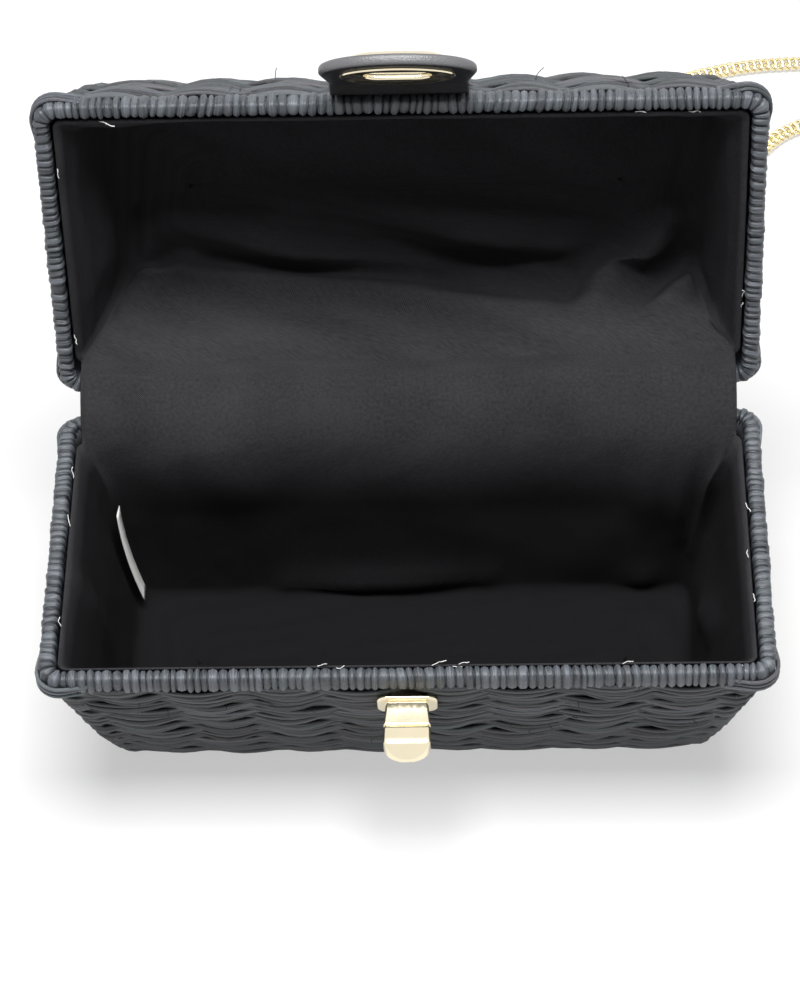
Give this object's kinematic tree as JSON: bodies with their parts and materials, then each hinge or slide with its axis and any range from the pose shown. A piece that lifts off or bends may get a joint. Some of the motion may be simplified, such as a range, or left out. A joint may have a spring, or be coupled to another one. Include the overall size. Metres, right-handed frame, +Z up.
{
  "type": "basket box bag",
  "caption": "Woven box handbag with a hinged lid, whipped rims, a cloth lining, a leather tab that closes over a turn lock, and a chain strap.",
  "frame": {"origin": "middle of the face that the base rests on, under the middle of the base's rim", "axes": "+X along the bag's width to the right, +Y from the front to the back, +Z up"},
  "size_m": [0.2713, 0.3403, 0.1921],
  "materials": {
    "straw": "dyed black plant fibre, satin",
    "lining": "black plain-woven cotton",
    "white_tape": "white tape",
    "black_leather": "black grained leather",
    "gold_metal": "pale gold, polished",
    "chain_metal": "pale gold, polished"
  },
  "bodies": {
    "base": {"base_basket": "straw", "base_rim": "straw", "base_lining": "lining", "hinge_cloth": "lining", "hinge_lashings": "straw", "sewn_tab": "white_tape", "lock_plate": "gold_metal", "lock_backing": "gold_metal", "loop_left": "black_leather", "loop_right": "black_leather", "ring_left": "gold_metal", "ring_right": "gold_metal", "loop_rivets": "gold_metal", "end_ring_left": "gold_metal", "end_ring_right": "gold_metal", "chain_left": "chain_metal", "chain_right": "chain_metal", "chain_coil": "chain_metal"},
    "lid": {"lid_basket": "straw", "lid_rim": "straw", "lid_lining": "lining", "tab_root": "black_leather"},
    "tab": {"leather_tab": "black_leather", "eyelet_front": "gold_metal", "eyelet_back": "gold_metal"},
    "knob": {"lock_knob": "gold_metal"}
  },
  "joints": [
    {"name": "lid_hinge", "type": "hinge", "parent": "base", "child": "lid", "pos_m": [0, 0.0544, 0.0622], "axis": [1, 0, 0], "range_deg": [0, 103], "deforming": ["hinge_cloth", "hinge_lashings"]},
    {"name": "tab_bend", "type": "hinge", "parent": "lid", "child": "tab", "pos_m": [0, 0.08196, 0.16514], "axis": [1, 0, 0], "range_deg": [-46, 44], "stiffness_Nm_per_rad": 0.05},
    {"name": "knob_turn", "type": "hinge", "parent": "base", "child": "knob", "pos_m": [0, -0.058, 0.0483], "axis": [0, -1, 0], "range_deg": [0, 90]}
  ]
}
